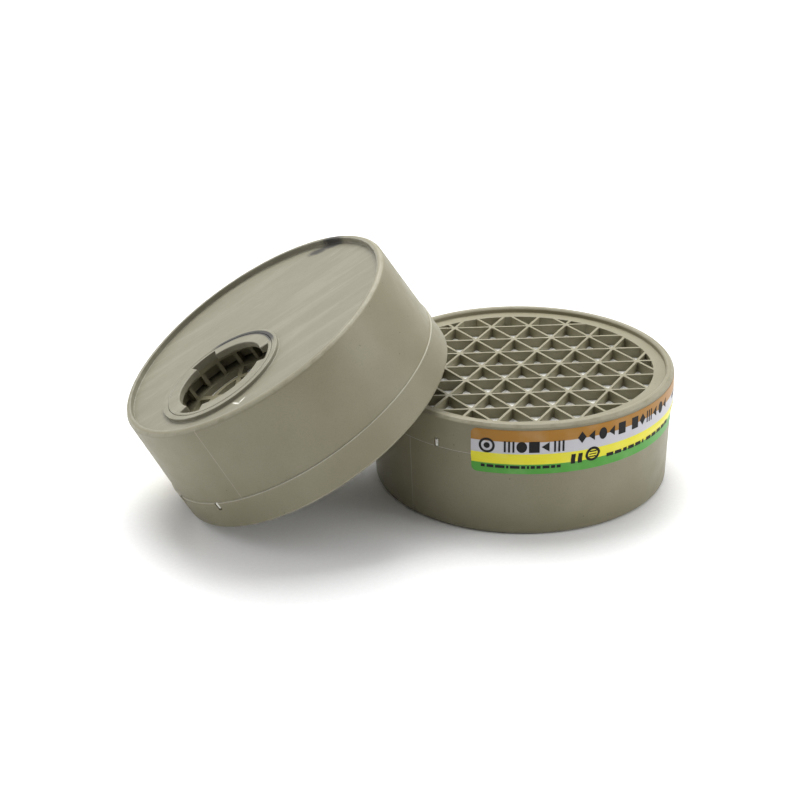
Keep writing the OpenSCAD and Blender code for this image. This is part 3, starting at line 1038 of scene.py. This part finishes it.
def ink_ring(bm, along, up, outer, inner):
    """One flat printed ring."""
    shift = Matrix.Translation((along, up, 0))
    edges = set()
    for radius in (outer, inner):
        circle = bmesh.ops.create_circle(bm, radius=radius, segments=INK_RING_STEPS, matrix=shift)["verts"]
        edges.update(e for v in circle for e in v.link_edges)
    bmesh.ops.bridge_loops(bm, edges=list(edges))


def ink_sign(bm, along, up, radius, corners, stretch=1.0):
    """One flat printed sign: a triangle, a diamond or a dot."""
    turn = Matrix.Rotation(math.radians(90.0), 4, "Z")
    place = Matrix.Translation((along, up, 0)) @ Matrix.Diagonal((1, stretch, 1, 1)) @ turn
    bmesh.ops.create_circle(bm, cap_ends=True, radius=radius, segments=corners, matrix=place)


def row_of_signs(bm, draw, left, right, low, high, width, gap):
    """A row of plain signs: dots, diamonds, triangles, blocks, strokes."""
    at = left
    last = None
    middle = (low + high) / 2
    stretch = (high - low) / width
    while at + width <= right:
        kind = draw.choice([k for k in (3, 4, ROUND, "block", "strokes") if k != last])
        if kind == "block":
            ink_bar(bm, at, at + width, low, high)
        elif kind == "strokes":
            for k in range(STROKES):
                stroke = at + width * STROKE_PITCH * k
                ink_bar(bm, stroke, stroke + width * STROKE_W, low, high)
        else:
            ink_sign(bm, at + width / 2, middle, width / 2, kind, stretch)
        at += width + gap
        last = kind


def row_of_dashes(bm, draw, left, right, low, high):
    """A row of short and long dashes."""
    tall = high - low
    at = left
    while at < right - tall:
        long = min(right - at, tall * draw.choice(DASH_LENGTHS))
        ink_bar(bm, at, at + long, low, high)
        at += long + tall * draw.choice(DASH_GAPS)


def make_label_print(side, material):
    draw = random.Random(PRINT_SEED)
    bm = bmesh.new()
    ink_ring(bm, *DOT_AT, *DOT_RING)
    ink_sign(bm, *DOT_AT, DOT_R, ROUND)
    for row in SIGN_ROWS:
        row_of_signs(bm, draw, *row)
    for row in DASH_ROWS:
        row_of_dashes(bm, draw, *row)
    for left, right in BLOCKS:
        ink_bar(bm, left, right, BLOCK_FOOT, BLOCK_TOP)
    ink_ring(bm, *BARRED_AT, *BARRED_RING)
    along, up = BARRED_AT
    for row in (-1, 0, 1):
        middle = up + row * BAR_PITCH
        ink_bar(bm, along - BAR_HALF_L, along + BAR_HALF_L, middle - BAR_HALF_T, middle + BAR_HALF_T)
    thicken(bm, FILM_T * 0.9, LABEL_T)
    wrap_on_shell(bm, LABEL_AT[side])
    return add_piece(bm, side + "_label_print", side, [material], smooth=SOFT_SHADING)


# ---------------------------------------------------------------------------
# Both cartridges
# ---------------------------------------------------------------------------

film = striped_film()
ink = printing_ink()
white_lug = stressed_plastic()

for side in ("flat", "leaning"):
    shell = moulded_shell(side, "moulded_shell", rear_marks=True)
    cover_shell = moulded_shell(side, "cover_shell")
    inner_shell = moulded_shell(side, "inner_shell", wear_and_highlight_edges=False)
    fleece = fleece_cloth(side, "needled_fleece", 0.55)
    make_case(side, shell, white_lug)
    make_bayonet_ring(side, shell)
    make_socket_baffle(side, inner_shell)
    make_cover(side, cover_shell)
    make_fleeces_and_foam(side, fleece, foam_cells(side, "press_foam"))
    make_label(side, film)
    make_label_print(side, ink)
    for node, finish in (("support_grid", inner_shell),
                         ("rear_bed", carbon_grains(side, "fourth_class_carbon", 0.8)),
                         ("front_bed", carbon_grains(side, "mixed_carbon", 1.1))):
        kept = frame["nodes"][side + "_" + node]
        kept.data.materials.clear()
        kept.data.materials.append(finish)

# ---------------------------------------------------------------------------
# Studio: paper, soft lights, camera
# ---------------------------------------------------------------------------

PAPER_HALF = 15.0
MIDDLE_OF_PAIR = (0, 0, 0.03)
# name, place, side, power
SOFTBOXES = (("overhead_softbox", (-0.1, 0.42, 0.95), 0.8, 13.5),
             ("left_softbox", (-0.9, -0.15, 0.4), 0.5, 1.0),
             ("right_softbox", (0.95, -0.2, 0.4), 0.5, 3.6))
# the way the room gets brighter, and how bright it is away from it and towards it
ROOM_WAY = (-0.1, 0.75, 0.65)
ROOM_SPAN = {"From Min": -0.7, "From Max": 0.8, "To Min": 0.07, "To Max": 0.92}
# camera: turn, downward look and roll in degrees, place from the flat cartridge's rear centre
CAMERA_YAW = math.radians(-3.87)
CAMERA_PITCH = math.radians(24.55)
CAMERA_ROLL = math.radians(-0.73)
CAMERA_STAND = (0, -0.5374, 0.2677)
CAMERA_LENS = 88.48
CAMERA_SENSOR = 36.0
CAMERA_NEAR = 0.05


def make_paper():
    bm = bmesh.new()
    bmesh.ops.create_grid(bm, x_segments=8, y_segments=8, size=PAPER_HALF)
    mesh = bpy.data.meshes.new("paper_sheet")
    bm.to_mesh(mesh)
    bm.free()
    mesh.materials.append(studio_paper())
    paper = bpy.data.objects.new("paper_sheet", mesh)
    bpy.context.scene.collection.objects.link(paper)


def soft_light(name, place, across, power):
    data = bpy.data.lights.new(name, "AREA")
    data.shape = "RECTANGLE"
    data.size = across
    data.size_y = across
    data.energy = power
    lamp = bpy.data.objects.new(name, data)
    lamp.location = place
    look = Vector(MIDDLE_OF_PAIR) - Vector(place)
    lamp.rotation_euler = look.to_track_quat("-Z", "Y").to_euler()
    bpy.context.scene.collection.objects.link(lamp)


def make_camera():
    ahead = Vector((math.sin(CAMERA_YAW), math.cos(CAMERA_YAW), 0))
    forward = ahead * math.cos(CAMERA_PITCH) - Vector((0, 0, math.sin(CAMERA_PITCH)))
    level = Vector((math.cos(CAMERA_YAW), -math.sin(CAMERA_YAW), 0))
    upright = level.cross(forward)
    right = level * math.cos(CAMERA_ROLL) + upright * math.sin(CAMERA_ROLL)
    up = upright * math.cos(CAMERA_ROLL) - level * math.sin(CAMERA_ROLL)
    data = bpy.data.cameras.new("viewpoint")
    data.lens = CAMERA_LENS
    data.sensor_width = CAMERA_SENSOR
    data.clip_start = CAMERA_NEAR
    camera = bpy.data.objects.new("viewpoint", data)
    turn = Matrix((right, up, -forward)).transposed().to_4x4()
    stand = PLACE["flat"].translation + Vector(CAMERA_STAND)
    camera.matrix_world = Matrix.Translation(stand) @ turn
    bpy.context.scene.collection.objects.link(camera)
    bpy.context.scene.camera = camera


def make_room():
    """A bright room above and behind the pair, and a dim one in front of it."""
    world = bpy.data.worlds.new("studio_room")
    world.use_nodes = True
    tree = world.node_tree
    glow = tree.nodes["Background"]
    glow.inputs["Color"].default_value = (1.0, 1.0, 1.0, 1.0)
    toward = tree.nodes.new("ShaderNodeTexCoord").outputs["Generated"]
    lean = tree.nodes.new("ShaderNodeVectorMath")
    lean.operation = "DOT_PRODUCT"
    lean.inputs[1].default_value = ROOM_WAY
    fade = tree.nodes.new("ShaderNodeMapRange")
    fade.interpolation_type = "SMOOTHSTEP"
    for name, number in ROOM_SPAN.items():
        fade.inputs[name].default_value = number
    tree.links.new(toward, lean.inputs[0])
    tree.links.new(lean.outputs["Value"], fade.inputs["Value"])
    tree.links.new(fade.outputs["Result"], glow.inputs["Strength"])
    bpy.context.scene.world = world
    bpy.context.scene.view_settings.view_transform = "Standard"


make_paper()
make_room()
for softbox in SOFTBOXES:
    soft_light(*softbox)
make_camera()

bpy.context.view_layer.update()
